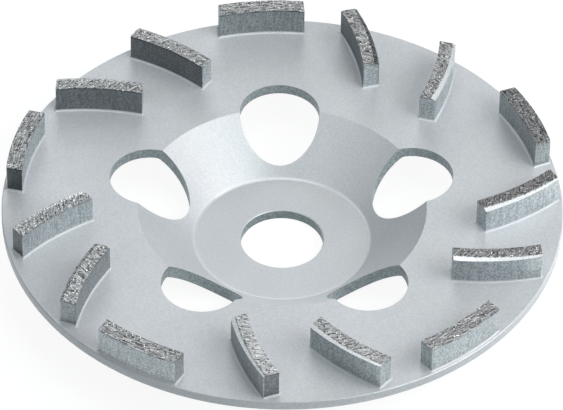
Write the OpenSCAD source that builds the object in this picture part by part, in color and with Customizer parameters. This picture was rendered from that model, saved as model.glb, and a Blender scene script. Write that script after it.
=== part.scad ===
// Diamond cup wheel for an angle grinder: a dished steel body with five vent holes
// and fifteen curved grinding segments brazed to the flat ring.
// Millimetres, Z up along the bore axis. The origin is the centre of the bore on the
// back face of the hub, the face that sits on the grinder's flange. The segments face up.

/* [Body] */
// Outside diameter of the wheel
outer_d = 150; // [146:1:160]
// Thickness of the body, the same in ring, dish and hub
plate_t = 3; // [2.4:0.1:4]
// Depth of the dish, from the ring's face down to the hub's floor
dish_depth = 12.4; // [10:0.2:15]
// Inner diameter of the flat ring, where the dish begins
ring_inner_d = 77.2; // [74:0.2:80]
// Diameter of the flat floor of the hub
floor_d = 47; // [44:0.5:50]
// Radius in the corner between the hub's floor and the dish
floor_r = 1.5; // [0.5:0.1:2.5]
// Radius under the ring, in the corner behind the dish
back_r = 2; // [0.5:0.1:3]
// Edge break on the top edge of the rim
rim_break = 0.2; // [0.1:0.05:0.4]
// Chamfer on the bottom edge of the rim
rim_chamfer = 0.5; // [0.2:0.1:1]

/* [Bore] */
// Bore diameter, a 22.23 mm grinder arbor
bore_d = 22.23; // [20:0.01:25.4]
// Edge break at both ends of the bore
bore_break = 0.2; // [0.1:0.05:0.5]

/* [Vent holes] */
// Diameter of a vent hole
vent_d = 21.6; // [16:0.2:23]
// Diameter of the circle the vent holes stand on
vent_pitch_d = 74.4; // [72:0.2:78]

/* [Segments] */
// Length of a segment between its square ends
seg_len = 23.5; // [18:0.5:25]
// Width of a segment
seg_w = 4.4; // [3:0.1:6]
// Height of a segment above the ring
seg_h = 8; // [5:0.5:12]
// Radius of a segment's curve, on its centre line
seg_curve_r = 65; // [45:1:90]
// Leg of the braze bead round the foot of a segment
bead = 0.5; // [0.2:0.1:0.7]
// Width of the bevel worn along the top of the bulging side of the slanted segments
bevel_w = 1.2; // [0.6:0.1:1.6]
// Drop of that bevel, from the top down to the side
bevel_drop = 0.5; // [0.2:0.1:1]

/* [Segment places] */
// Gap from the rim to the side of a rim segment
rim_gap = 0.9; // [0.8:0.1:2]
// Angle from a vent hole on to its rim segment
rim_angle = 3.6; // [0:0.2:6]
// Distance in from the rim to the middle of the long slanted one
outer_slant_in = 11.7; // [11:0.1:13]
// Angle from a vent hole back to the first slanted segment
outer_slant_angle = -21.6; // [-23:0.2:-20]
// Lean of the first slanted segment away from the radius
outer_lean_angle = 35.2; // [30:0.2:40]
// Distance in from the rim to the middle of the second slanted segment
inner_slant_in = 12.3; // [11:0.1:13]
// Angle from a vent hole back to the second slanted segment
inner_slant_angle = -44.6; // [-46:0.2:-43]
// Lean of the second slanted segment away from the radius
inner_lean_angle = 28.9; // [25:0.2:35]

/* [Hidden] */
$fn = 180;
// The wheel repeats five times: one vent hole and three segments in each fifth
sets = 5;
step = 360 / sets;
// The first vent hole stands on +Y
first_turn = 90;
// Radii
outer_r = outer_d / 2;
ring_inner_r = ring_inner_d / 2;
floor_outer_r = floor_d / 2;
// Heights
floor_z = plate_t;
ring_z = plate_t + dish_depth;
top_z = ring_z + seg_h;
// Slope of the dish, and how far its back lies outside its front at the same bend
dish_angle = atan(dish_depth / (ring_inner_r - floor_outer_r));
back_shift = plate_t * tan(dish_angle / 2);
// Half a segment across, half its length, and what is more than enough to cut with
half_w = seg_w / 2;
half_len = seg_len / 2;
over = 1;
// Where the three kinds of segment stand: distance from the axis to the segment's middle
rim_place_r = outer_r - rim_gap - half_w;
outer_slant_place_r = outer_r - outer_slant_in;
inner_slant_place_r = outer_r - inner_slant_in;
steel_grey = [0.74, 0.76, 0.79];
segment_grey = [0.52, 0.51, 0.50];

// Section of the body from the bore to the rim, the same thickness everywhere
module body_section() {
  bore_r = bore_d / 2;
  polygon([
    [bore_r + bore_break, 0],
    [floor_outer_r + back_shift, 0],
    [ring_inner_r + back_shift, dish_depth],
    [outer_r - rim_chamfer, dish_depth],
    [outer_r, dish_depth + rim_chamfer],
    [outer_r, ring_z - rim_break],
    [outer_r - rim_break, ring_z],
    [ring_inner_r, ring_z],
    [floor_outer_r, floor_z],
    [bore_r + bore_break, floor_z],
    [bore_r, floor_z - bore_break],
    [bore_r, bore_break]]);
}

// Fills the corner between a level line and a line that rises at the dish's angle.
// side = 1 fills above the corner, side = -1 fills the same corner upside down.
module corner_fill(x, z, r, side) {
  t = r * tan(dish_angle / 2);
  translate([x, z])
    rotate(side > 0 ? 0 : 180)
      difference() {
        polygon([[-t, 0], [0, 0], [t * cos(dish_angle), t * sin(dish_angle)], [-t, r]]);
        translate([-t, r])
          circle(r = r);
      }
}

module vent_holes() {
  for (i = [0 : sets - 1])
    rotate([0, 0, first_turn + i * step])
      translate([vent_pitch_d / 2, 0, -over])
        cylinder(d = vent_d, h = ring_z + 2 * over);
}

module body() {
  color(steel_grey)
    difference() {
      rotate_extrude()
        union() {
          body_section();
          corner_fill(floor_outer_r, floor_z, floor_r, 1);
          corner_fill(ring_inner_r + back_shift, dish_depth, back_r, -1);
        }
      vent_holes();
    }
}

// One segment with its middle on the origin and its length along X. It curves round a
// centre on +Y, its ends are square to its length, and a braze bead runs round its foot.
// The bevel is on the bulging side, and runs in across the top and down the side.
module segment_shape(across, down) {
  intersection() {
    translate([0, seg_curve_r, 0])
      rotate_extrude()
        polygon([
          [seg_curve_r - half_w - bead, 0],
          [seg_curve_r + half_w + bead, 0],
          [seg_curve_r + half_w, bead],
          [seg_curve_r + half_w, seg_h - down],
          [seg_curve_r + half_w - across, seg_h],
          [seg_curve_r - half_w, seg_h],
          [seg_curve_r - half_w, bead]]);
    rotate([90, 0, 0])
      translate([0, 0, -seg_w * 2])
        linear_extrude(height = seg_w * 4)
          polygon([
            [-half_len - bead, 0],
            [half_len + bead, 0],
            [half_len, bead],
            [half_len, seg_h],
            [-half_len, seg_h],
            [-half_len, bead]]);
  }
}

// Stands a segment on the ring: distance from the axis, turn about it, and lean away
// from the radius. The sets follow each other clockwise, seen from the segments' side.
module on_ring(place_r, turn, lean) {
  rotate([0, 0, first_turn + turn])
    translate([place_r, 0, ring_z])
      rotate([0, 0, lean])
        children();
}

module rim_segment(i) {
  color(segment_grey)
    on_ring(rim_place_r, rim_angle - i * step, 90)
      segment_shape(rim_break, rim_break);
}

module outer_slant_segment(i) {
  color(segment_grey)
    on_ring(outer_slant_place_r, outer_slant_angle - i * step, outer_lean_angle)
      segment_shape(bevel_w, bevel_drop);
}

module inner_slant_segment(i) {
  color(segment_grey)
    on_ring(inner_slant_place_r, inner_slant_angle - i * step, inner_lean_angle)
      segment_shape(bevel_w, bevel_drop);
}

body();
for (i = [0 : sets - 1]) {
  rim_segment(i);
  outer_slant_segment(i);
  inner_slant_segment(i);
}
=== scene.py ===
import math

import bmesh
import bpy
from mathutils import Matrix, Vector, noise


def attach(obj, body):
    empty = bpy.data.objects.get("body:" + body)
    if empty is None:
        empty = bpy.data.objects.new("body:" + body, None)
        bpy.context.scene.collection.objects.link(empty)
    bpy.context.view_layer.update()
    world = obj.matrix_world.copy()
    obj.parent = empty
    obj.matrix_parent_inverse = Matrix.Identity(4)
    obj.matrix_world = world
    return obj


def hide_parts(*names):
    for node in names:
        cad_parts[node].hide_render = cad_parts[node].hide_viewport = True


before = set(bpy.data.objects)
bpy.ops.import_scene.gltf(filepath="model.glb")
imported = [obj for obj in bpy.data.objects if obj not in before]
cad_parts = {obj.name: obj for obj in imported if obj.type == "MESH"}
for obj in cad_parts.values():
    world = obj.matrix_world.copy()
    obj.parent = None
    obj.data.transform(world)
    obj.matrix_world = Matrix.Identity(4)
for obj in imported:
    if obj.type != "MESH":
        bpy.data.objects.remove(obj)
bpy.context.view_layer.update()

MM = 0.001

# The wheel's own sizes, in metres
RING_Z = 15.4 * MM
TOP_Z = 23.4 * MM
WHEEL_R = 75 * MM
HUB_FLOOR_Z = 3 * MM
HUB_FLOOR_R = 23.5 * MM

# A segment's sizes
SEG_LENGTH = 23.5 * MM
SEG_WIDTH = 4.4 * MM
SEG_HEIGHT = 8 * MM
SEG_CURVE_R = 65 * MM
BEAD = 0.5 * MM
CORNER_R = 0.22 * MM

# How many parts a segment is cut into: along, across, up to the band under the top,
# and up in that band and in the bead
PARTS_ALONG, PARTS_ACROSS, PARTS_UP, PARTS_FINE = 94, 18, 18, 5
TOP_BAND = 0.6 * MM
# Less than this apart counts as the same place
TINY = 1e-7

# The strip worn along the bulging side: its reach inwards, its drop, and how it narrows outwards
STRIP_WIDTH = 1.2 * MM
STRIP_DROP = 0.5 * MM
STRIP_TAPER = -0.0102

# Where each kind of segment stands: radius of its middle, turn from its set, lean from the radius
RIM_PLACE = (71.9 * MM, 3.6, 90)
OUTER_SLANT_PLACE = (63.3 * MM, -21.6, 35.2)
INNER_SLANT_PLACE = (62.7 * MM, -44.6, 28.9)
SETS = 5
SET_STEP = 72

# How pale ground metal is, on the tops and on the gritty strips. The strips' grit is painted paler than the
# tops: painted light on strips that would look dark from the shade they reflect
TOP_PALE = 0.585
STRIP_PALE_AND_PAINTED_LIGHT = 0.95

# Painted light and shade: how much paler or darker than usual a segment is painted on its sides, outer end,
# inner end and top. The sides and ends are painted darker where little light falls on them and paler where
# much does; the top's factor makes each ground top paler or darker.
PLAIN_TONES = (1, 1, 1, 1)
PAINTED_LIGHT_TONES = {
    "rim_segment_1": (0.9, 0.9, 0.9, 1.05),
    "rim_segment_2": (0.9, 0.9, 0.9, 0.7),
    "rim_segment_3": (1.05, 1.1, 1.2, 1.1),
    "rim_segment_5": (1.3, 0.25, 1.3, 0.9),
    "outer_slant_segment_1": (0.55, 0.6, 1.35, 1),
    "outer_slant_segment_2": (1.2, 1.2, 1.2, 0.7),
    "outer_slant_segment_3": (1.1, 1.1, 1.1, 1.25),
    "outer_slant_segment_4": (0.85, 0.75, 0.85, 1.1),
    "outer_slant_segment_5": (0.6, 0.6, 1.35, 1),
    "inner_slant_segment_1": (1.3, 1.25, 1.25, 1.05),
    "inner_slant_segment_2": (1.1, 1.15, 1.15, 0.95),
    "inner_slant_segment_3": (0.95, 0.5, 0.95, 1.5),
    "inner_slant_segment_4": (1.2, 0.35, 1.2, 1),
    "inner_slant_segment_5": (0.45, 0.6, 1.35, 1.1),
}


# Small helpers for material nodes
def add(tree, kind, inputs=None, **settings):
    made = tree.nodes.new(kind)
    for name, value in settings.items():
        setattr(made, name, value)
    for name, value in (inputs or {}).items():
        if isinstance(value, bpy.types.NodeSocket):
            tree.links.new(value, made.inputs[name])
        else:
            made.inputs[name].default_value = value
    return made


def maths(tree, operation, a, b=0.0, clamp=False):
    return add(tree, "ShaderNodeMath", {0: a, 1: b}, operation=operation, use_clamp=clamp).outputs[0]


def ramp(tree, value, low, high, to_low=0.0, to_high=1.0):
    return add(tree, "ShaderNodeMapRange", {
        "Value": value, "From Min": low, "From Max": high, "To Min": to_low, "To Max": to_high,
    }, interpolation_type="SMOOTHSTEP").outputs[0]


def grain(tree, where, scale, detail=2.0, roughness=0.5):
    return add(tree, "ShaderNodeTexNoise", {
        "Vector": where, "Scale": scale, "Detail": detail, "Roughness": roughness,
    }).outputs["Fac"]


def blend_colour(tree, share, one, other):
    return add(tree, "ShaderNodeMix", {0: share, 6: one, 7: other}, data_type="RGBA").outputs[2]


def scale_colour(tree, colour, factor):
    return add(tree, "ShaderNodeVectorMath", {0: colour, "Scale": factor}, operation="SCALE").outputs[0]


def new_material(name):
    material = bpy.data.materials.new(name)
    material.use_nodes = True
    tree = material.node_tree
    tree.nodes.clear()
    return material, tree


def round_the_wheel(tree):
    """A point's place, its height, its distance from the axis and its length along the turn."""
    place = add(tree, "ShaderNodeTexCoord").outputs["Object"]
    parts = add(tree, "ShaderNodeSeparateXYZ", {0: place}).outputs
    squares = [maths(tree, "MULTIPLY", part, part) for part in (parts[0], parts[1])]
    across = maths(tree, "SQRT", maths(tree, "ADD", *squares))
    around = maths(tree, "MULTIPLY", maths(tree, "ARCTAN2", parts[1], parts[0]), WHEEL_R)
    return place, parts[2], across, around


def silver_paint():
    """Satin silver paint over turned steel, as on the whole body."""
    material, tree = new_material("silver_paint")
    place, height, across, around = round_the_wheel(tree)
    along = maths(tree, "MULTIPLY", around, 0.02)
    turned = add(tree, "ShaderNodeCombineXYZ", {0: across, 1: along}).outputs[0]
    rings = grain(tree, turned, 900.0, 3.0, 0.6)
    flakes = grain(tree, place, 4200.0, 1.0)
    clouds = grain(tree, place, 45.0, 3.0, 0.55)
    silver = blend_colour(tree, ramp(tree, clouds, 0.3, 0.7),
                          (0.61, 0.62, 0.646, 1), (0.65, 0.66, 0.683, 1))
    speckles = ramp(tree, grain(tree, place, 2300.0, 2.0), 0.3, 0.7, 0.0, 0.4)
    painted = blend_colour(tree, speckles, silver, (0.42, 0.44, 0.47, 1))
    # painted highlight: a pale line where the dish rises from the hub's floor, as if its fillet caught the
    # light
    painted_edge_line = maths(tree, "MULTIPLY", ramp(tree, across, HUB_FLOOR_R - 0.5 * MM, HUB_FLOOR_R),
                 ramp(tree, across, HUB_FLOOR_R + 0.8 * MM, HUB_FLOOR_R + 0.2 * MM))
    on_front = ramp(tree, height, HUB_FLOOR_Z - 0.2 * MM, HUB_FLOOR_Z, 0.0, 0.4)
    painted = blend_colour(tree, maths(tree, "MULTIPLY", painted_edge_line, on_front), painted, (0.9, 0.91, 0.93, 1))
    # painted shade: the cut walls of the holes are painted dark and mottled, as little light reaches them,
    # and the rim's wall less so
    facing = add(tree, "ShaderNodeTexCoord").outputs["Normal"]
    upward = add(tree, "ShaderNodeSeparateXYZ", {0: facing}).outputs[2]
    wall = ramp(tree, maths(tree, "ABSOLUTE", upward), 0.45, 0.2)
    inside = ramp(tree, across, WHEEL_R - 0.4 * MM, WHEEL_R - 0.9 * MM, 0.3, 1.0)
    # painted shade: the bore's wall is painted darker than the vent holes' walls
    painted_wall_shade = blend_colour(tree, ramp(tree, across, 12 * MM, 13 * MM),
                       (0.175, 0.215, 0.22, 1), (0.29, 0.335, 0.355, 1))
    mottle = ramp(tree, grain(tree, place, 1300.0, 3.0, 0.6), 0.35, 0.65, 0.75, 1.25)
    colour = blend_colour(tree, maths(tree, "MULTIPLY", wall, inside), painted,
                          scale_colour(tree, painted_wall_shade, mottle))
    gloss = maths(tree, "ADD", ramp(tree, flakes, 0.25, 0.75, 0.43, 0.51),
                  ramp(tree, rings, 0.3, 0.7, -0.02, 0.02))
    relief = maths(tree, "ADD", maths(tree, "MULTIPLY", flakes, 0.6), maths(tree, "MULTIPLY", rings, 0.5))
    soft_edges = add(tree, "ShaderNodeBevel", {"Radius": 0.12 * MM}, samples=4).outputs[0]
    bump = add(tree, "ShaderNodeBump", {
        "Strength": 0.35, "Distance": 0.02 * MM, "Height": relief, "Normal": soft_edges}).outputs[0]
    shader = add(tree, "ShaderNodeBsdfPrincipled", {
        "Base Color": colour, "Metallic": 0.3, "Roughness": gloss, "Coat Weight": 0.35,
        "Coat Roughness": 0.2, "Normal": bump})
    add(tree, "ShaderNodeOutputMaterial", {"Surface": shader.outputs[0]})
    return material


def ground_grit(tree, place, across, around, pale=TOP_PALE):
    """Colour, gloss and relief of a ground face: scratches along the turn, worn patches, grit and pits."""
    along = maths(tree, "MULTIPLY", around, 0.06)
    drawn = add(tree, "ShaderNodeCombineXYZ", {0: across, 1: along}).outputs[0]
    scratches = grain(tree, drawn, 3600.0, 2.0, 0.7)
    cells = add(tree, "ShaderNodeTexVoronoi", {"Vector": place, "Scale": 2000.0})
    pick = add(tree, "ShaderNodeSeparateColor", {0: cells.outputs["Color"]}).outputs[0]
    crystal = maths(tree, "MULTIPLY", ramp(tree, pick, 0.74, 0.78),
                    ramp(tree, cells.outputs["Distance"], 0.46, 0.38))
    pits = ramp(tree, grain(tree, place, 1500.0, 1.0), 0.42, 0.35)
    metal = blend_colour(tree, ramp(tree, scratches, 0.36, 0.64),
                         (0.17 * pale, 0.174 * pale, 0.18 * pale, 1), (pale, pale, 1.015 * pale, 1))
    worn = ramp(tree, grain(tree, place, 330.0, 2.0), 0.48, 0.66, 0.0, 0.6)
    metal = blend_colour(tree, worn, metal, (0.56 * pale, 0.56 * pale, 0.57 * pale, 1))
    with_grit = blend_colour(tree, crystal, metal, (0.92, 0.92, 0.92, 1))
    colour = blend_colour(tree, maths(tree, "MULTIPLY", pits, 0.85), with_grit, (0.03, 0.03, 0.03, 1))
    gloss = ramp(tree, crystal, 0.0, 1.0, 0.42, 0.16)
    relief = maths(tree, "ADD", maths(tree, "MULTIPLY", scratches, 2.2),
                   maths(tree, "MULTIPLY", crystal, 1.2))
    return colour, gloss, relief


def share_above(tree, place, height, level, soft=0.06 * MM):
    """Where a face lies above about a level, with a ragged border that is as deep as soft."""
    ragged = maths(tree, "MULTIPLY", grain(tree, place, 1900.0, 2.0), 0.3 * MM)
    full = level + 0.1 * MM
    return ramp(tree, maths(tree, "ADD", height, ragged), full - soft, full)


def two_finishes(tree, share, lower, upper, metallic):
    """Ends a material that changes from one finish to another, paler or darker by the piece's painted light
    and shade.
    """
    # painted light and shade: each point's factor scales the colour
    painted_light_tone = add(tree, "ShaderNodeAttribute", attribute_name="painted_light_tone").outputs["Fac"]
    colour = scale_colour(tree, blend_colour(tree, share, lower[0], upper[0]), painted_light_tone)
    gloss = add(tree, "ShaderNodeMix", {0: share, 2: lower[1], 3: upper[1]}).outputs[0]
    relief = add(tree, "ShaderNodeMix", {0: share, 2: lower[2], 3: upper[2]}).outputs[0]
    bump = add(tree, "ShaderNodeBump", {
        "Strength": 0.5, "Distance": 0.03 * MM, "Height": relief}).outputs[0]
    shader = add(tree, "ShaderNodeBsdfPrincipled", {
        "Base Color": colour, "Metallic": metallic, "Roughness": gloss, "Normal": bump})
    add(tree, "ShaderNodeOutputMaterial", {"Surface": shader.outputs[0]})


def painted_sides(name, paint_top, pale=TOP_PALE):
    """Painted sides up to a height, and ground grit above it."""
    material, tree = new_material(name)
    place, height, across, around = round_the_wheel(tree)
    # paint with a sandy grain and faint streaks that run up the segment
    upright = add(tree, "ShaderNodeVectorMath", {0: place, 1: (1, 1, 0.12)}, operation="MULTIPLY").outputs[0]
    streaks = grain(tree, upright, 1500.0, 2.0, 0.6)
    sand = grain(tree, place, 2200.0, 2.0, 0.6)
    mottle = maths(tree, "ADD", maths(tree, "MULTIPLY", sand, 0.75), maths(tree, "MULTIPLY", streaks, 0.25))
    paint = blend_colour(tree, ramp(tree, mottle, 0.38, 0.62),
                         (0.277, 0.303, 0.317, 1), (0.533, 0.573, 0.593, 1))
    # painted shade: a dark line, broken here and there, where the paint ends under the top, for the shade
    # under the nibbled edge
    broken = ramp(tree, grain(tree, place, 420.0, 2.0), 0.35, 0.6, 0.3, 0.85)
    painted_edge_line = maths(tree, "MULTIPLY", share_above(tree, place, height, paint_top, 0.5 * MM), broken)
    paint = blend_colour(tree, painted_edge_line, paint, (0.07, 0.08, 0.085, 1))
    # the braze bead at the foot is covered in the body's own paint
    foot = ramp(tree, height, RING_Z + BEAD + 0.12 * MM, RING_Z + BEAD - 0.08 * MM)
    colour = blend_colour(tree, foot, paint, (0.62, 0.635, 0.66, 1))
    metallic = ramp(tree, foot, 0.0, 1.0, 0.9, 0.35)
    gloss = ramp(tree, sand, 0.3, 0.7, 0.44, 0.56)
    relief = maths(tree, "ADD", maths(tree, "MULTIPLY", sand, 0.6), maths(tree, "MULTIPLY", streaks, 0.12))
    two_finishes(tree, share_above(tree, place, height, paint_top), (colour, gloss, relief),
                 ground_grit(tree, place, across, around, pale), metallic)
    return material


def rubbed_and_highlit_strip(name, bright_top):
    """Bright rubbed metal, partly a painted highlight, on the strip along the bulging side, up to a height,
    and ground grit above it.
    """
    material, tree = new_material(name)
    place, height, across, around = round_the_wheel(tree)
    rubbed_highlight_grain = grain(tree, place, 1200.0, 3.0, 0.6)
    # painted highlight in part: the strip's pale metal stands for the light it catches as well as for
    # rubbing
    colour = blend_colour(tree, ramp(tree, rubbed_highlight_grain, 0.3, 0.7),
                          (0.7, 0.71, 0.73, 1), (0.85, 0.855, 0.865, 1))
    gloss = ramp(tree, rubbed_highlight_grain, 0.3, 0.7, 0.5, 0.4)
    relief = grain(tree, place, 3000.0)
    two_finishes(tree, share_above(tree, place, height, bright_top), (colour, gloss, relief),
                 ground_grit(tree, place, across, around), 0.7)
    return material


# Segments
def slice_up(mesh, axis, places):
    """Cuts the whole blank at each place along an axis."""
    normal = Vector((0, 0, 0))
    normal[axis] = 1
    for place in places:
        point = Vector((0, 0, 0))
        point[axis] = place
        every = mesh.verts[:] + mesh.edges[:] + mesh.faces[:]
        bmesh.ops.bisect_plane(mesh, geom=every, dist=1e-8, plane_co=point, plane_no=normal)


def steps(low, high, count):
    """The places of the cuts that part a stretch into equal lengths."""
    return [low + (high - low) * k / count for k in range(1, count)]


def segment_blank(with_strip):
    """A straight segment on z = 0, cut finely enough to bend, chip and roughen. Its bulging side is -Y."""
    blank = bmesh.new()
    bmesh.ops.create_cube(blank, size=1)
    bmesh.ops.scale(blank, vec=(SEG_LENGTH, SEG_WIDTH, SEG_HEIGHT), verts=blank.verts)
    bmesh.ops.translate(blank, vec=(0, 0, SEG_HEIGHT / 2), verts=blank.verts)
    if with_strip:
        every = blank.verts[:] + blank.edges[:] + blank.faces[:]
        bmesh.ops.bisect_plane(blank, geom=every, dist=1e-8, clear_outer=True,
                               plane_co=(0, -SEG_WIDTH / 2, SEG_HEIGHT - STRIP_DROP),
                               plane_no=Vector((STRIP_TAPER, -STRIP_DROP / STRIP_WIDTH, 1)).normalized())
        strip = bmesh.ops.holes_fill(blank, edges=[e for e in blank.edges if e.is_boundary])
        for f in strip["faces"]:
            f.material_index = 1
    upright = [e for e in blank.edges
               if abs(e.verts[0].co.z - e.verts[1].co.z) > SEG_HEIGHT / 2]
    bmesh.ops.bevel(blank, geom=upright, offset=CORNER_R, offset_type="OFFSET", segments=3,
                    profile=0.5, affect="EDGES", material=-1)
    band = SEG_HEIGHT - TOP_BAND
    slice_up(blank, 0, steps(-SEG_LENGTH / 2, SEG_LENGTH / 2, PARTS_ALONG))
    slice_up(blank, 1, steps(-SEG_WIDTH / 2, SEG_WIDTH / 2, PARTS_ACROSS))
    slice_up(blank, 2, steps(0, BEAD, PARTS_FINE) + [BEAD] + steps(BEAD, band, PARTS_UP)
             + steps(band, SEG_HEIGHT, PARTS_FINE) + [band])
    return blank


def painted_light_tone_at(x, z, painted_light_tones):
    """The painted light and shade factor that a point of the blank takes. The bead keeps the plain one."""
    sides, outer_end, inner_end, top = painted_light_tones
    if z < BEAD - TINY:
        return 1
    if z > SEG_HEIGHT - TINY:
        return top
    if x > SEG_LENGTH / 2 - TINY:
        return outer_end
    if x < TINY - SEG_LENGTH / 2:
        return inner_end
    return sides


def finished_segment(name, blank, place, number, finishes):
    """A blank with a brazed foot and worn edges, bent and set in its place, then given its ground top."""
    own_painted_light_tones, painted_light_tones = PAINTED_LIGHT_TONES.get(name, PLAIN_TONES), []
    middle_r, turn, lean = place
    stand = (Matrix.Rotation(math.radians(90 + turn - SET_STEP * number), 4, "Z")
             @ Matrix.Translation((middle_r, 0, RING_Z)) @ Matrix.Rotation(math.radians(lean), 4, "Z"))
    seed = Vector((3.1 * number + 17 * middle_r / MM, lean, turn))
    piece = blank.copy()
    half_length, half_width = SEG_LENGTH / 2, SEG_WIDTH / 2
    for v in piece.verts:
        x, y, z = v.co
        at = Vector((x, y, z)) / MM + seed
        on_top = z > SEG_HEIGHT - TINY
        painted_light_tones.append(painted_light_tone_at(x, z, own_painted_light_tones))
        # the braze bead runs out in a hollow curve all round the foot
        if z < BEAD:
            share = z / BEAD
            flare = BEAD * (1 - math.sqrt(max(0.0, 1 - (1 - share) ** 2)))
            flare *= 1 + 0.25 * noise.noise(Vector((x, y, 0)) / (1.3 * MM) + seed)
            x *= 1 + flare / half_length
            y *= 1 + flare / half_width
        # sides are not quite flat, and the top edge is nibbled
        else:
            drawn_up = Vector((at.x * 2.2, at.y * 2.2, at.z * 0.3))
            wave = 0.018 * MM * (noise.noise(at * 1.8) + 0.3 * noise.noise(drawn_up))
            near_top = max(0.0, 1 - (SEG_HEIGHT - z) / (0.35 * MM))
            nibble = 0.16 * MM * near_top * max(0.0, noise.noise(at * 1.7 + Vector((9, 4, 2))) - 0.05)
            x *= 1 + (wave - nibble) / half_length
            y *= 1 + (wave - nibble) / half_width
        # bent, with its ends left square
        v.co = Vector((x, SEG_CURVE_R - math.sqrt((SEG_CURVE_R - y) ** 2 - x * x), z))
        v.co = stand @ v.co
        if on_top:
            across = v.co.xy.length / MM
            around = math.atan2(v.co.y, v.co.x) * WHEEL_R / MM
            scratch = noise.noise(Vector((across * 2.6, around * 0.16, 5.0 + number)))
            grit = noise.noise(at * 2.9)
            pit = max(0.0, noise.noise(at * 1.25 + Vector((31, 7, 3))) - 0.36)
            v.co.z -= MM * (0.05 + 0.035 * scratch + 0.04 * grit + 0.5 * pit)
    mesh = bpy.data.meshes.new(name)
    for f in piece.faces:
        f.smooth = f.normal.z < 0.96
    bmesh.ops.recalc_face_normals(piece, faces=piece.faces)
    piece.to_mesh(mesh)
    piece.free()
    # each point's painted light and shade factor, read by the material
    mesh.attributes.new("painted_light_tone", "FLOAT", "POINT").data.foreach_set("value", painted_light_tones)
    mesh.set_sharp_from_angle(angle=math.radians(32))
    for finish in finishes:
        mesh.materials.append(finish)
    made = bpy.data.objects.new(name + "_grit", mesh)
    bpy.context.scene.collection.objects.link(made)
    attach(made, "root")
    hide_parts(name)


# Studio
def white_floor():
    """Pale floor that reads as white, with the wheel's soft shadow on it. It is clear from below."""
    reach, drop = 30, 0.02 * MM
    material, tree = new_material("studio_floor")
    rays = add(tree, "ShaderNodeLightPath").outputs
    seen = maths(tree, "ADD", rays["Is Camera Ray"], rays["Is Transmission Ray"], clamp=True)
    room = add(tree, "ShaderNodeBsdfDiffuse", {"Color": (0.6, 0.6, 0.6, 1)}).outputs[0]
    thin = add(tree, "ShaderNodeBsdfDiffuse", {"Color": (0.14, 0.14, 0.14, 1)}).outputs[0]
    # near the wheel it leaves room for the lamps' light, which the shadow takes away
    across = round_the_wheel(tree)[2]
    glow = ramp(tree, across, 0.25, 0.7, 0.9, 1.0)
    white = add(tree, "ShaderNodeEmission", {"Color": (1, 1, 1, 1), "Strength": glow}).outputs[0]
    shown = add(tree, "ShaderNodeAddShader", {0: thin, 1: white}).outputs[0]
    # in the wheel's own gloss the floor is pale too, with a deeper shadow
    matt = add(tree, "ShaderNodeBsdfDiffuse", {"Color": (0.7, 0.7, 0.7, 1)}).outputs[0]
    pale = add(tree, "ShaderNodeEmission", {"Color": (0.92, 0.97, 1, 1), "Strength": 0.52}).outputs[0]
    mirrored = add(tree, "ShaderNodeAddShader", {0: matt, 1: pale}).outputs[0]
    bounced = add(tree, "ShaderNodeMixShader", {0: rays["Is Glossy Ray"], 1: room, 2: mirrored}).outputs[0]
    upper = add(tree, "ShaderNodeMixShader", {0: seen, 1: bounced, 2: shown}).outputs[0]
    clear = add(tree, "ShaderNodeBsdfTransparent").outputs[0]
    under = add(tree, "ShaderNodeNewGeometry").outputs["Backfacing"]
    whole = add(tree, "ShaderNodeMixShader", {0: under, 1: upper, 2: clear}).outputs[0]
    add(tree, "ShaderNodeOutputMaterial", {"Surface": whole})
    sheet = bmesh.new()
    bmesh.ops.create_grid(sheet, x_segments=1, y_segments=1, size=reach)
    mesh = bpy.data.meshes.new("floor")
    sheet.to_mesh(mesh)
    sheet.free()
    mesh.materials.append(material)
    floor = bpy.data.objects.new("floor", mesh)
    floor.location.z = -drop
    bpy.context.scene.collection.objects.link(floor)


def softbox(name, azimuth, elevation, power, colour=(1, 1, 1), distance=1.3):
    """A square soft light that faces the wheel, half as wide as it is far. Azimuth turns from +X to +Y."""
    light = bpy.data.lights.new(name, "AREA")
    light.shape = "SQUARE"
    light.size = distance / 2
    light.energy = power
    light.color = colour
    turn, lift = math.radians(azimuth), math.radians(elevation)
    away = Vector((math.cos(lift) * math.cos(turn), math.cos(lift) * math.sin(turn), math.sin(lift)))
    lamp = bpy.data.objects.new(name, light)
    lamp.location = Vector((0, 0, RING_Z)) + away * distance
    # a low lamp is raised, so that it stays clear of the floor
    if elevation < 20:
        lamp.location.z += 0.09 * distance
    lamp.rotation_euler = away.to_track_quat("Z", "Y").to_euler()
    lamp.visible_camera = False
    bpy.context.scene.collection.objects.link(lamp)


def studio_light():
    """Large soft lights all round, stronger from the right, and small ones close to the wheel."""
    world = bpy.data.worlds.new("studio")
    world.use_nodes = True
    sky = world.node_tree.nodes["Background"].inputs
    sky["Color"].default_value = (1, 1, 1, 1)
    sky["Strength"].default_value = 0.01
    bpy.context.scene.world = world
    cool, warm = (0.87, 0.98, 1.0), (1.0, 0.95, 0.94)
    softbox("key_right", 0, 43, 3.7, warm)
    softbox("key_front_right", 315, 43, 5.3, (0.9, 1.0, 0.98))
    softbox("front_left", 225, 43, 2.1, cool)
    softbox("back", 90, 43, 1.0)
    softbox("low_back", 90, 12, 3.6, (0.95, 1.0, 1.0))
    softbox("close_above", 0, 90, 0.23, (0.95, 0.98, 1.0), 0.3)
    softbox("close_right", 337, 28, 0.285, (1, 1, 1), 0.3)
    softbox("close_low_right", 22, 10, 0.175, cool, 0.3)
    softbox("close_back_left", 135, 43, 0.083, cool, 0.3)
    softbox("close_left", 180, 43, 0.06, (1, 1, 1), 0.3)


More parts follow.
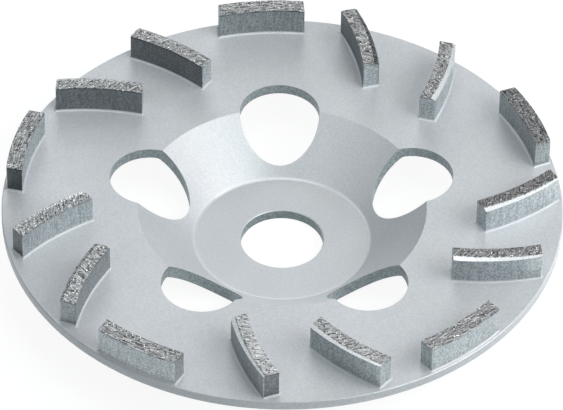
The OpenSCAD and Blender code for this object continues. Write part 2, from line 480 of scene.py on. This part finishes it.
def photo_camera():
    """Camera at the photograph's viewing angle. Its focal length and aim are counted in picture points."""
    focal, width, sensor = 6250.4, 563, 36
    aim_right, aim_down = 0.894, -0.036
    lift, tip, turn = 42.958, 0.8056, -1.68
    distance = 22.268 * WHEEL_R
    camera = bpy.data.cameras.new("camera")
    camera.sensor_width = sensor
    camera.lens = focal * sensor / width
    camera.clip_start, camera.clip_end = 0.05, 100
    body = bpy.data.objects.new("camera", camera)
    turned = Matrix.Rotation(math.radians(turn), 4, "Z")
    facing = (turned @ Matrix.Rotation(math.radians(90 - lift), 4, "X")
              @ Matrix.Rotation(math.radians(tip), 4, "Z"))
    away = facing.to_3x3() @ Vector((aim_right / focal, -aim_down / focal, -1)).normalized()
    body.matrix_world = Matrix.Translation(Vector((0, 0, RING_Z)) - away * distance) @ facing
    bpy.context.scene.collection.objects.link(body)
    bpy.context.scene.camera = body


photo_camera()
bpy.context.scene.view_settings.view_transform = "Standard"
white_floor()
studio_light()

paint = silver_paint()
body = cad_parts["body"]
for slot in body.material_slots:
    slot.material = paint

# the paint ends a little under the edge, at the top and at a gritty strip
edge_wear = 0.15 * MM
sides = painted_sides("segment_finish", TOP_Z - edge_wear)
# the strip is rubbed bright on some segments, over all or part of it, and still gritty on the others; the
# bright ones are partly a painted highlight, put on the strips that catch the lights
wide_strip = (sides, rubbed_and_highlit_strip("wide_strip", TOP_Z - 0.02 * MM))
narrow_strip = (sides, rubbed_and_highlit_strip("narrow_strip", TOP_Z - 0.08 * MM))
# the gritty strip's grit is painted paler than the tops: painted light
gritty_strip_painted_light = (sides, painted_sides("gritty_strip_painted_light", TOP_Z - STRIP_DROP - edge_wear, STRIP_PALE_AND_PAINTED_LIGHT))
outer_finishes = (gritty_strip_painted_light, narrow_strip, narrow_strip, gritty_strip_painted_light, gritty_strip_painted_light)
inner_finishes = (wide_strip, wide_strip, narrow_strip, gritty_strip_painted_light, gritty_strip_painted_light)
plain_blank = segment_blank(False)
strip_blank = segment_blank(True)
for i in range(SETS):
    finished_segment(f"rim_segment_{i + 1}", plain_blank, RIM_PLACE, i, (sides,))
    finished_segment(f"outer_slant_segment_{i + 1}", strip_blank, OUTER_SLANT_PLACE, i, outer_finishes[i])
    finished_segment(f"inner_slant_segment_{i + 1}", strip_blank, INNER_SLANT_PLACE, i, inner_finishes[i])
plain_blank.free()
strip_blank.free()
